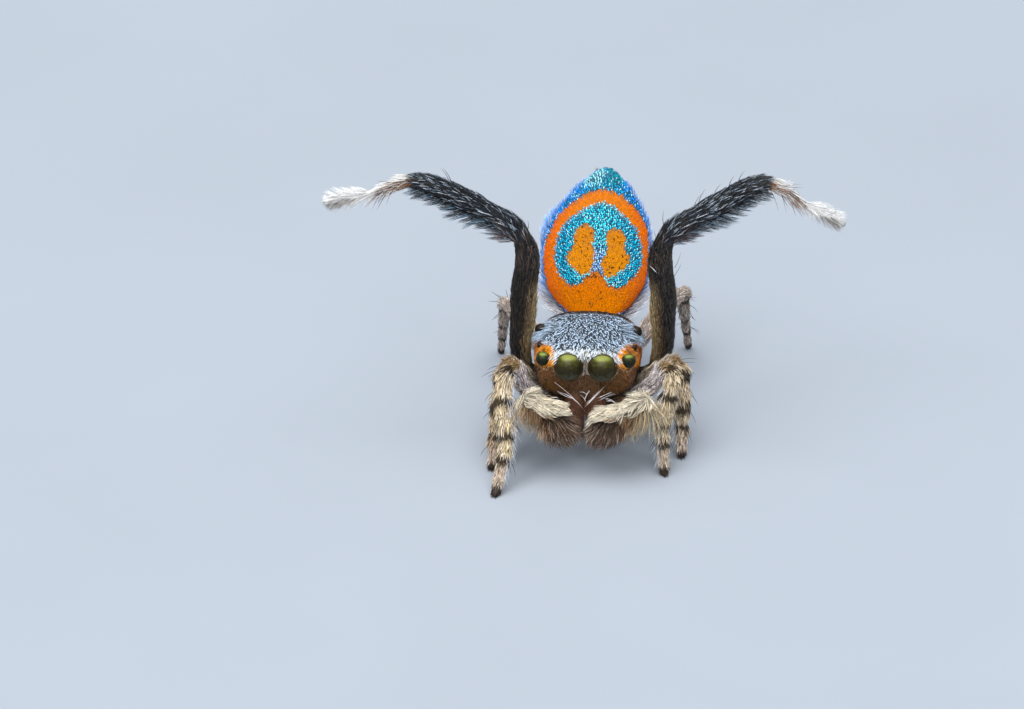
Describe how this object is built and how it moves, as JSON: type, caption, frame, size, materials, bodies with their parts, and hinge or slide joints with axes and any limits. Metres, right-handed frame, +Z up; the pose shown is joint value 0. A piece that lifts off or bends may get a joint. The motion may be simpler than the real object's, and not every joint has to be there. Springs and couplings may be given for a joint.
{
  "type": "peacock spider",
  "caption": "Still, life-size model of a male peacock spider in display: patterned abdomen and third pair of legs raised, the other legs standing on small flat feet.",
  "frame": {"origin": "under the middle of the whole model's bounding box, on the floor it stands on", "axes": "+X to the animal's left, which is the longest extent because of the raised legs; +Y from its face to its rear; +Z up"},
  "size_m": [0.0086, 0.005, 0.0048],
  "materials": {
    "silver_hair": "dense short silver-white hairs over dark skin, satin",
    "display_scales": "orange ring on a blue-green field of tiny scales, satin",
    "eye_lens": "clear dark olive-green lens, mirror gloss",
    "brown_cuticle": "brown skin with fine hair, satin",
    "tan_cuticle": "tan-grey skin with fine hair, satin",
    "cream_hair": "long cream-white hairs in tufts, soft",
    "brown_hair": "soft brown fuzz with pale tips",
    "banded_hair": "cream and dark brown bands of bristly hair",
    "black_hair": "black bristles with a blue-grey sheen",
    "white_hair": "white hairs in a brush, with a dark claw tuft"
  },
  "bodies": {
    "root": {"abdomen": "display_scales", "carapace": "silver_hair", "chelicera_left": "brown_cuticle", "chelicera_right": "brown_cuticle", "eye_anterior_lateral_left": "eye_lens", "eye_anterior_lateral_right": "eye_lens", "eye_anterior_median_left": "eye_lens", "eye_anterior_median_right": "eye_lens", "eye_posterior_lateral_left": "eye_lens", "eye_posterior_lateral_right": "eye_lens", "eye_posterior_median_left": "eye_lens", "eye_posterior_median_right": "eye_lens", "leg_1_left_coxa": "tan_cuticle", "leg_1_left_femur": "banded_hair", "leg_1_left_foot": "banded_hair", "leg_1_left_shin": "banded_hair", "leg_1_right_coxa": "tan_cuticle", "leg_1_right_femur": "banded_hair", "leg_1_right_foot": "banded_hair", "leg_1_right_shin": "banded_hair", "leg_2_left_coxa": "tan_cuticle", "leg_2_left_femur": "banded_hair", "leg_2_left_foot": "banded_hair", "leg_2_left_shin": "banded_hair", "leg_2_right_coxa": "tan_cuticle", "leg_2_right_femur": "banded_hair", "leg_2_right_foot": "banded_hair", "leg_2_right_shin": "banded_hair", "leg_3_left_coxa": "tan_cuticle", "leg_3_left_femur": "black_hair", "leg_3_left_foot": "white_hair", "leg_3_left_shin": "black_hair", "leg_3_right_coxa": "tan_cuticle", "leg_3_right_femur": "black_hair", "leg_3_right_foot": "white_hair", "leg_3_right_shin": "black_hair", "leg_4_left_coxa": "tan_cuticle", "leg_4_left_femur": "banded_hair", "leg_4_left_foot": "banded_hair", "leg_4_left_shin": "banded_hair", "leg_4_right_coxa": "tan_cuticle", "leg_4_right_femur": "banded_hair", "leg_4_right_foot": "banded_hair", "leg_4_right_shin": "banded_hair", "palp_tip_left": "brown_hair", "palp_tip_right": "brown_hair", "pedicel": "tan_cuticle", "pedipalp_left": "cream_hair", "pedipalp_right": "cream_hair", "spinnerets": "tan_cuticle", "sternum": "tan_cuticle"}
  },
  "joints": []
}
